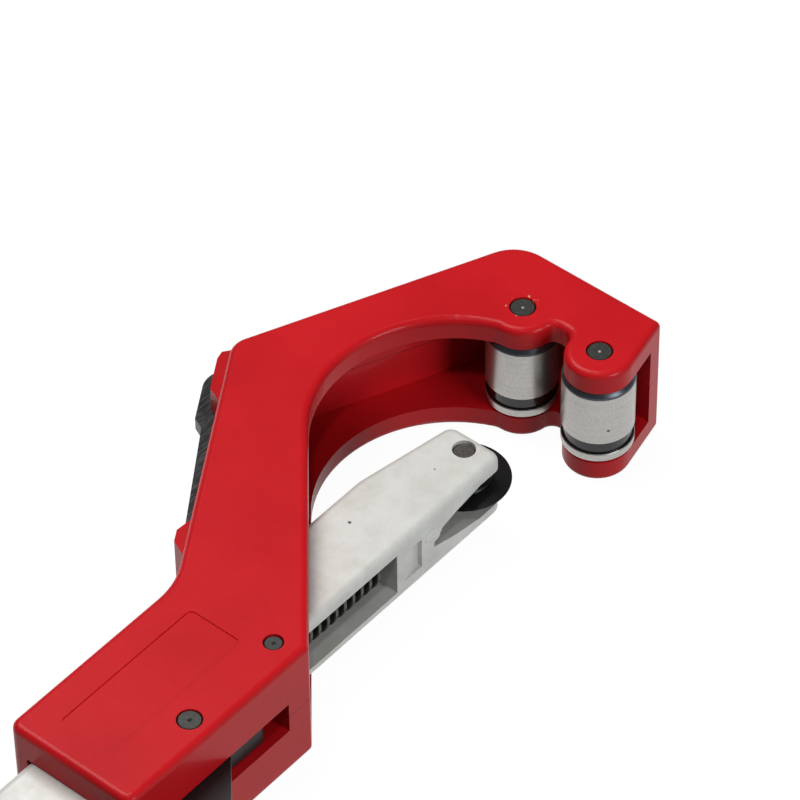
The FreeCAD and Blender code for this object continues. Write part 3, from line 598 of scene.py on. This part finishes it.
@dataclass(frozen=True)
class PinEnd:
    """Dull phosphate on a driven pin: a dark rim round its end and a pale centre mark."""

    node: str
    along: Along = Along.Z
    colour: Colour = (0.024, 0.025, 0.022)
    worn: Colour = (0.050, 0.050, 0.044)
    rim: Colour = (0.010, 0.010, 0.010)
    mark: Colour = (0.50, 0.42, 0.34)
    mark_radius: float = 0.00032
    rim_wide: float = 0.00032

    def material(self) -> bpy.types.Material:
        """The pin's material, centred on the pin."""
        low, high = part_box(self.node)
        centre = tuple((a + b) / 2 for a, b in zip(low, high))
        radius = (high[0] - low[0]) / 2
        shader = Shader("phosphate_" + self.node)
        shader.set(Metallic=0.35, Roughness=0.45)
        out = shader.radius(centre, self.along)
        cloud = shader.band(shader.noise(1500, 5, 0.7), 0.4, 0.68)
        base = shader.mix(cloud, self.colour, self.worn)
        edge = shader.band(out, radius - self.rim_wide * 1.3, radius - self.rim_wide * 0.7)
        edged = shader.mix(edge, base, self.rim)
        dot = shader.band(out, self.mark_radius * 1.2, self.mark_radius * 0.8)
        shader.paint("Base Color", shader.mix(dot, edged, self.mark))
        shader.relief((shader.noise(2500, 4, 0.65), 0.00002))
        return shader.material


@dataclass(frozen=True)
class WornThread:
    """Black oxide on the feed screw, rubbed brownish grey on its crests."""

    colour: Colour = (0.012, 0.012, 0.013)
    crest: Colour = (0.085, 0.078, 0.066)
    crest_radius: float = 0.0045

    def material(self) -> bpy.types.Material:
        """The screw's material."""
        shader = Shader("worn_thread")
        shader.set(Metallic=0.6, Roughness=0.36)
        out = shader.radius((0, FEED_SIDE, AXIS_HIGH), Along.X)
        high = shader.band(out, self.crest_radius - 0.0001, self.crest_radius + 0.0001)
        rubbed = shader.maths("MULTIPLY", high, shader.band(shader.noise(900, 4, 0.6), 0.3, 0.55, 0.45, 1))
        shader.paint("Base Color", shader.mix(rubbed, self.colour, self.crest))
        shader.relief((shader.noise(1800, 3), 0.000008))
        return shader.material


@dataclass(frozen=True)
class GroundEdge:
    """Black oxide on the reamer, with its cutting side ground bright."""

    colour: Colour = (0.014, 0.014, 0.015)
    bright: Colour = (0.16, 0.16, 0.155)

    def material(self) -> bpy.types.Material:
        """The blade's material; the ground edge is its upper rim on the outer side."""
        low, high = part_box("reamer_blade")
        shader = Shader("ground_edge")
        shader.set(Metallic=0.6, Roughness=0.34)
        top = shader.band(shader.axis("Z"), high[2] - 0.0003, high[2] - 0.0001)
        streaks = shader.band(shader.noise(900, 4, 0.6, (0.3, 3.0, 1.0)), 0.45, 0.6, 0.0, 0.35)
        ground = shader.maths("MULTIPLY", top, streaks)
        shader.paint("Base Color", shader.mix(ground, self.colour, self.bright))
        shader.relief((shader.noise(1500, 3), 0.00001))
        return shader.material


ENAMEL = RedPaint()
ZINC = CastZinc()
GROUND = GroundSteel()
THREAD = WornThread()
BLADE = GroundEdge()
# A darker bluish finish for the top end of each roller only, over its top chamfer and the last of its
# side.
DARK_TOP_BAND = PlainMetal("dark_top_band", (0.075, 0.085, 0.10), 0.34, 0.7)
# Glossy near-black finish for the rollers' flare groove: painted shade, standing for the shade inside the
# groove of the steel roller.
GROOVE_PAINTED_SHADE = PlainMetal("groove_painted_shade", (0.006, 0.006, 0.007), 0.18, 0.0)
BLACK_OXIDE = PlainMetal("black_oxide", (0.012, 0.012, 0.013), 0.3, 0.2, 0.4, 500)
LEVER_BLACK = PlainMetal("lever_phosphate", (0.014, 0.0125, 0.0125), 0.5, 0.2)
WIRE = PlainMetal("spring_wire", (0.5, 0.5, 0.49), 0.25)
NYLON = PlainMetal("black_nylon", (0.012, 0.012, 0.013), 0.5, 0.0, 0.3, 900, 0.00003)


def dress(node: str, material: bpy.types.Material) -> None:
    """Give a CAD node one material."""
    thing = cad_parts[node]
    thing.data.materials.clear()
    thing.data.materials.append(material)


# ------------------------------------------------------------------ pieces


@dataclass(frozen=True)
class CFrame:
    """The painted casting and the pins through it."""

    pins: tuple[str, ...] = ("roller_pin_far", "roller_pin_near", "lever_pivot_pin", "guide_pin")
    mark_radius: float = 0.00032

    def build(self) -> None:
        """Dress the casting and its pins."""
        dress("frame", ENAMEL.material())
        for pin in self.pins:
            centred = pin.startswith("roller")
            dress(pin, PinEnd(pin, mark_radius=self.mark_radius if centred else 0.0).material())
        log.info("casting and %d pins dressed", len(self.pins))


@dataclass(frozen=True)
class Rollers:
    """The two guide rollers, each with a darker bluish band on its top end and a flare groove coloured
    near black, which is painted shade in the steel groove.
    """

    radius: float = 7.5 * MM
    bore: float = 2.81 * MM
    long: float = 19.2 * MM
    chamfer: float = 0.9 * MM
    dark_band_long: float = 1.35 * MM
    groove_low: float = 2.6 * MM
    groove_high: float = 5.6 * MM
    groove_deep: float = 0.5 * MM
    segments: int = 96

    def outline(self) -> list[tuple[float, float]]:
        """The roller's section, from its bore outwards and up."""
        r, c, soft = self.radius, self.chamfer, 0.15 * MM
        low, high, floor = self.groove_low, self.groove_high, self.radius - self.groove_deep
        top = self.long
        return [
            (self.bore, 0), (r - c, 0), (r - soft * 0.4, c - soft), (r, c + soft * 0.5),
            (r, low - soft), (r - soft, low), (floor + soft, low), (floor, low + soft),
            (floor, high - soft), (floor + soft, high), (r - soft, high), (r, high + soft),
            (r, top - self.dark_band_long), (r, top - c - soft * 0.5), (r - soft * 0.4, top - c + soft),
            (r - c, top), (self.bore, top),
        ]

    def zone(self, height: float, out: float) -> int:
        """Which finish a face takes, by its middle's height and radius."""
        hair = 0.01 * MM
        level = self.groove_low - hair < height < self.groove_high + hair
        # Faces inside the groove take the near-black finish, painted shade in the recess of the steel
        # roller.
        if level and out < self.radius - 0.05 * MM:
            return 2
        # The top end's band takes the darker bluish finish; the bottom end keeps the plain steel.
        if height > self.long - self.dark_band_long - hair:
            return 1
        return 0

    def build(self) -> None:
        """Lathe both rollers and set their three finishes."""
        finishes = (GROUND.material(), DARK_TOP_BAND.material(), GROOVE_PAINTED_SHADE.material())
        for node, body in (("roller_far", "far_roller"), ("roller_near", "near_roller")):
            low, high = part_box(node)
            mesh = lathe(self.outline(), self.segments)
            for face in mesh.polygons:
                face.material_index = self.zone(face.center.z, face.center.xy.length)
            for finish in finishes:
                mesh.materials.append(finish)
            mesh.transform(Matrix.Translation(
                Vector(((low[0] + high[0]) / 2, (low[1] + high[1]) / 2, low[2]))))
            smooth(mesh)
            piece(node + "_turned", mesh, body, (node,))


@dataclass(frozen=True)
class CutterWheels:
    """The fitted cutter wheel and the spare one in the knob, with crowned hubs."""

    radius: float = 9.5 * MM
    hub: float = 5.4 * MM
    hub_half: float = 3.9 * MM
    bore: float = 2.46 * MM
    disc_half: float = 0.75 * MM
    bevel: float = 2.2 * MM
    edge_half: float = 0.06 * MM
    segments: int = 128

    def outline(self) -> list[tuple[float, float]]:
        """The wheel's section, centred on its height."""
        soft = 0.3 * MM
        lower = [
            (self.bore, -self.hub_half), (self.hub - soft, -self.hub_half),
            (self.hub, -self.hub_half + soft), (self.hub, -self.disc_half - soft),
            (self.hub + soft, -self.disc_half), (self.radius - self.bevel, -self.disc_half),
            (self.radius, -self.edge_half),
        ]
        return lower + [(out, -height) for out, height in reversed(lower)]

    def build(self) -> None:
        """Lathe the fitted wheel on its pin and the spare one along the screw's axis."""
        oxide = BLACK_OXIDE.material()
        for node, body, turn in (("cutter_wheel", "wheel", Matrix()),
                                 ("spare_wheel", "feed", Matrix.Rotation(QUARTER, 4, "Y"))):
            low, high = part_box(node)
            mesh = lathe(self.outline(), self.segments)
            mesh.materials.append(oxide)
            mesh.transform(Matrix.Translation((Vector(low) + Vector(high)) / 2) @ turn)
            smooth(mesh, 25)
            piece(node + "_turned", mesh, body, (node,))


@dataclass(frozen=True)
class Slide:
    """The cast slide, its wheel pin and the low smear of flash that casting left on it."""

    lump_at: Place = (0.0738, -0.0087, 0.0172)
    lump_size: Place = (0.0026, 0.00024, 0.0019)
    lump_fine: int = 5
    lump_rough: float = 0.45
    lump_scale: float = 1.1
    lump_seed: Place = (3.1, 7.4, 1.9)

    def lump(self, zinc: bpy.types.Material) -> None:
        """A ragged smear of flash before the ramp, thinner than the slide's gap in its bore."""
        work = bmesh.new()
        bmesh.ops.create_icosphere(work, subdivisions=self.lump_fine, radius=1.0)
        for vert in work.verts:
            rough = noise.fractal(vert.co * self.lump_scale + Vector(self.lump_seed), 0.9, 2.1, 4)
            vert.co *= 1 + self.lump_rough * rough
            vert.co = Vector(self.lump_at) + Vector(
                [a * b for a, b in zip(vert.co, self.lump_size)])
        mesh = bpy.data.meshes.new("flash")
        work.to_mesh(mesh)
        work.free()
        mesh.materials.append(zinc)
        smooth(mesh, 60)
        piece("casting_flash", mesh, "slide")

    def build(self) -> None:
        """Dress the slide and its pin and add the flash."""
        zinc = ZINC.material()
        dress("slide", zinc)
        dress("wheel_pin", PinEnd("wheel_pin", colour=(0.05, 0.042, 0.036),
                                  worn=(0.10, 0.085, 0.07), mark_radius=0.0).material())
        self.lump(zinc)


@dataclass(frozen=True)
class FeedScrew:
    """The screw's turned core with a thread grown along a helix, and its small fittings."""

    shank: float = 3.4 * MM
    root: float = 3.7 * MM
    crest: float = 4.75 * MM
    spigot: float = 2.4 * MM
    rear: float = -55.0 * MM
    groove: tuple[float, float] = (-24.85 * MM, -23.85 * MM)
    groove_radius: float = 2.6 * MM
    thread: tuple[float, float] = (-8.3 * MM, 60.8 * MM)
    threaded: tuple[float, float] = (-9.5 * MM, 62.0 * MM)
    front: float = 66.0 * MM
    pitch: float = 2.5 * MM
    crest_wide: float = 0.7 * MM
    base_wide: float = 1.5 * MM
    sunk: float = 0.1 * MM
    steps: int = 40

    def core(self) -> bpy.types.Mesh:
        """The turned core on local Z."""
        soft = 0.4 * MM
        first, last = self.threaded
        return lathe([
            (0, self.rear), (self.shank - soft, self.rear), (self.shank, self.rear + soft),
            (self.shank, self.groove[0]), (self.groove_radius, self.groove[0]),
            (self.groove_radius, self.groove[1]), (self.shank, self.groove[1]),
            (self.shank, first), (self.root, first), (self.root, last - soft),
            (self.root - soft, last), (self.spigot, last), (self.spigot, self.front - soft),
            (self.spigot - soft, self.front), (0, self.front),
        ], 64)

    def build(self) -> None:
        """Grow the thread and dress the ring and washer."""
        growth = Growth("feed_thread")
        start, end = self.thread
        turns = growth.size("Turns", (end - start) / self.pitch)
        radius = growth.size("Middle radius", (self.root + self.crest - self.sunk) / 2)
        rise = growth.size("Rise", end - start)
        deep = growth.size("Depth", self.crest - self.root + self.sunk)
        crest = growth.size("Crest width", self.crest_wide)
        base = growth.size("Base width", self.base_wide)
        section = growth.add("GeometryNodeCurvePrimitiveQuadrilateral", {
            "Height": deep, "Bottom Width": base, "Top Width": crest, "Offset": 0.0},
            mode="TRAPEZOID")
        turned = growth.add("GeometryNodeTransform", {
            "Geometry": section.outputs["Curve"], "Rotation": (0.0, 0.0, QUARTER)})
        ridge = growth.sweep(growth.helix(turns, radius, rise, self.steps),
                             turned.outputs["Geometry"])
        moved = growth.add("GeometryNodeTransform", {
            "Geometry": ridge, "Translation": (0.0, 0.0, start)})
        mesh = growth.grow(moved.outputs["Geometry"], THREAD.material(), self.core())
        mesh.transform(FEED_TURN)
        smooth(mesh, 32)
        piece("feed_screw_cut", mesh, "feed", ("feed_screw",))
        dress("retaining_ring", BLACK_OXIDE.material())
        dress("thrust_washer", GROUND.material())


@dataclass(frozen=True)
class Knob:
    """The hand knob, its fine grip ribs, cross pin and cap."""

    radius: float = 14.3 * MM
    ribs: int = 18
    rib_radius: float = 0.55 * MM
    rib_sunk: float = 0.2 * MM
    front: float = -43.6 * MM
    rear: float = -69.0 * MM

    def build(self) -> None:
        """Dress the knob and grow a rounded rib between each two flutes."""
        nylon = NYLON.material()
        for node in ("knob", "knob_cap"):
            dress(node, nylon)
        dress("knob_pin", PinEnd("knob_pin", along=Along.Y).material())
        growth = Growth("grip_ribs")
        count = growth.size("Ribs", self.ribs, whole=True)
        out = growth.size("Circle radius", self.radius - self.rib_sunk)
        thick = growth.size("Rib radius", self.rib_radius)
        long = growth.size("Rib length", self.front - self.rear)
        half = growth.size("Half step", math.pi / self.ribs)
        line = growth.add("GeometryNodeCurvePrimitiveLine", {
            "End": growth.triple(0.0, 0.0, long)}).outputs["Curve"]
        round_end = growth.add("GeometryNodeCurvePrimitiveCircle", {
            "Resolution": 10, "Radius": thick}).outputs["Curve"]
        rib = growth.sweep(line, round_end)
        ring = growth.add("GeometryNodeMeshCircle", {"Vertices": count, "Radius": out})
        spread = growth.add("GeometryNodeInstanceOnPoints", {
            "Points": ring.outputs["Mesh"], "Instance": rib})
        turned = growth.add("GeometryNodeTransform", {
            "Geometry": spread.outputs["Instances"], "Rotation": growth.triple(0.0, 0.0, half),
            "Translation": (0.0, 0.0, self.rear)})
        mesh = growth.grow(turned.outputs["Geometry"], nylon)
        mesh.transform(FEED_TURN)
        smooth(mesh, 50)
        piece("knob_grip_ribs", mesh, "feed")


@dataclass(frozen=True)
class Lever:
    """The release lever, the ribs on its thumb pad and the spring behind it."""

    rib_count: int = 6
    rib_gap: float = 2.0 * MM
    rib_radius: float = 0.45 * MM
    rib_long: float = 12.0 * MM
    pad_lean: float = 12.0
    coil_at: Place = (-8.7 * MM, -11.3 * MM, 15.0 * MM)
    coil_radius: float = 1.3 * MM
    wire: float = 0.25 * MM
    turns: int = 5
    free_long: float = 5.1 * MM
    end_gap: float = 0.12 * MM
    pressed: float = 0.70
    pad_corner: float = 1.04 * MM
    first_rib: float = 1.6 * MM

    def spring(self) -> None:
        """Grow the coil between the seat wall and the lever's cup."""
        growth = Growth("lever_coil")
        rise = self.free_long - 2 * (self.wire + self.end_gap)
        path = growth.helix(growth.size("Turns", self.turns),
                            growth.size("Coil radius", self.coil_radius),
                            growth.size("Rise", rise), 32)
        section = growth.add("GeometryNodeCurvePrimitiveCircle", {
            "Resolution": 12, "Radius": growth.size("Wire radius", self.wire)})
        mesh = growth.grow(growth.sweep(path, section.outputs["Curve"]), WIRE.material())
        seat = Vector(self.coil_at) - Vector((0, self.wire + self.end_gap, 0))
        mesh.transform(Matrix.Translation(seat)
                       @ Matrix.Rotation(QUARTER, 4, "X"))
        smooth(mesh, 60)
        coil = piece("lever_spring_coil", mesh, "frame", ("lever_spring",))
        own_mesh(coil)

    def ribs(self, finish: bpy.types.Material) -> None:
        """Grow the grip ribs across the pad's outer face."""
        low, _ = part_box("release_lever")
        lean = math.radians(self.pad_lean)
        growth = Growth("thumb_ribs")
        count = growth.size("Ribs", self.rib_count, whole=True)
        gap = growth.size("Rib spacing", self.rib_gap)
        long = growth.size("Rib length", self.rib_long)
        thick = growth.size("Rib radius", self.rib_radius)
        row = growth.add("GeometryNodeMeshLine", {
            "Count": count, "Offset": growth.triple(gap)}, mode="OFFSET")
        line = growth.add("GeometryNodeCurvePrimitiveLine", {"End": growth.triple(0.0, 0.0, long)})
        ring = growth.add("GeometryNodeCurvePrimitiveCircle", {"Resolution": 12, "Radius": thick})
        bar = growth.sweep(line.outputs["Curve"], ring.outputs["Curve"])
        spread = growth.add("GeometryNodeInstanceOnPoints", {
            "Points": row.outputs["Mesh"], "Instance": bar})
        mesh = growth.grow(spread.outputs["Instances"], finish)
        along = Vector((math.cos(lean), math.sin(lean), 0))
        tip = Vector((low[0] + self.pad_corner, low[1], AXIS_HIGH - self.rib_long / 2))
        mesh.transform(Matrix.Translation(tip + along * self.first_rib) @ Matrix.Rotation(lean, 4, "Z"))
        smooth(mesh, 50)
        piece("thumb_ribs", mesh, "lever")

    def build(self) -> None:
        """Dress the lever and grow its ribs and its spring."""
        finish = LEVER_BLACK.material()
        dress("release_lever", finish)
        self.ribs(finish)
        self.spring()


@dataclass(frozen=True)
class Reamer:
    """The folding reamer blade, its pin and its spring washer."""

    def build(self) -> None:
        """Dress all three."""
        dress("reamer_blade", BLADE.material())
        dress("reamer_pin", PinEnd("reamer_pin").material())
        dress("reamer_washer", WIRE.material())
        log.info("reamer dressed")


# ------------------------------------------------------------------ stage


@dataclass(frozen=True)
class Studio:
    """White sweep, soft lights and the camera."""

    aim: Place = (0.0996, 0.0215, 0.015)
    azimuth: float = 40.6467
    elevation: float = 45.1345
    roll: float = -0.7824
    distance: float = 0.9942
    lens: float = 223.25
    near: float = 0.01
    floor_side: float = 6.0
    floor_drop: float = 0.2 * MM
    floor_grey: Colour = (0.07, 0.07, 0.07)
    floor_glow: float = 0.96
    sky: float = 0.09
    cool: Colour = (0.92, 0.97, 1.0)

    def camera(self) -> None:
        """Place the camera, looking down past the jaw from the open side of the C."""
        azimuth = math.radians(self.azimuth)
        elevation = math.radians(self.elevation)
        roll = math.radians(self.roll)
        forward = Vector((math.cos(elevation) * math.cos(azimuth),
                          math.cos(elevation) * math.sin(azimuth), -math.sin(elevation)))
        side = forward.cross(Vector((0, 0, 1))).normalized()
        above = side.cross(forward)
        right = math.cos(roll) * side + math.sin(roll) * above
        up = -math.sin(roll) * side + math.cos(roll) * above
        turn = Matrix((right, up, -forward)).transposed()
        data = bpy.data.cameras.new("camera")
        data.lens = self.lens
        data.clip_start = self.near
        thing = bpy.data.objects.new("camera", data)
        thing.matrix_world = Matrix.Translation(
            Vector(self.aim) - forward * self.distance) @ turn.to_4x4()
        bpy.context.scene.collection.objects.link(thing)
        bpy.context.scene.camera = thing

    def floor(self) -> None:
        """A white floor that glows evenly and sheds no light on the tool's matt faces."""
        bpy.ops.mesh.primitive_plane_add(size=self.floor_side, location=(0, 0, -self.floor_drop))
        floor = bpy.context.object
        floor.name = "floor"
        shader = Shader("white_floor")
        shader.set(Base_Color=self.floor_grey, Roughness=0.95, Specular_IOR_Level=0.0,
                   Emission_Color=(1.0, 1.0, 1.0), Emission_Strength=self.floor_glow)
        floor.visible_diffuse = False
        floor.data.materials.append(shader.material)

    def light(self, name: str, place: Place, aim: Place, size: float, power: float,
              colour: Colour = (1.0, 1.0, 1.0)) -> None:
        """Hang one square soft light.

        Args:
            name: Its name.
            place: Where it hangs, in metres.
            aim: What it faces.
            size: Its side in metres.
            power: Its power in watts.
            colour: Its tint.
        """
        data = bpy.data.lights.new(name, "AREA")
        data.size = size
        data.energy = power
        data.color = colour
        thing = bpy.data.objects.new(name, data)
        thing.location = place
        thing.rotation_euler = (Vector(aim) - Vector(place)).to_track_quat("-Z", "Y").to_euler()
        bpy.context.scene.collection.objects.link(thing)

    def build(self) -> None:
        """Set the whole stage."""
        self.camera()
        self.floor()
        world = bpy.data.worlds.new("studio")
        world.use_nodes = True
        background = world.node_tree.nodes["Background"]
        background.inputs["Color"].default_value = (1, 1, 1, 1)
        background.inputs["Strength"].default_value = self.sky
        bpy.context.scene.world = world
        bpy.context.scene.view_settings.view_transform = "Standard"
        self.light("top_box", (0.1, 0.38, 0.85), (0.08, 0.02, 0), 0.6, 7.4)
        self.light("side_box", (0.05, -0.95, 0.4), (0.08, 0, 0), 0.4, 5.2, self.cool)
        self.light("edge_spark", (-0.25, -0.25, 0.9), (0.09, 0.02, 0), 0.06, 1.0)


def main() -> None:
    """Build every sub-assembly and set the stage."""
    logging.basicConfig(level=logging.INFO)
    for assembly in (CFrame(), Rollers(), Slide(), CutterWheels(), FeedScrew(), Knob(), Lever(),
                     Reamer()):
        assembly.build()
    Studio().build()


if __name__ == "__main__":
    main()
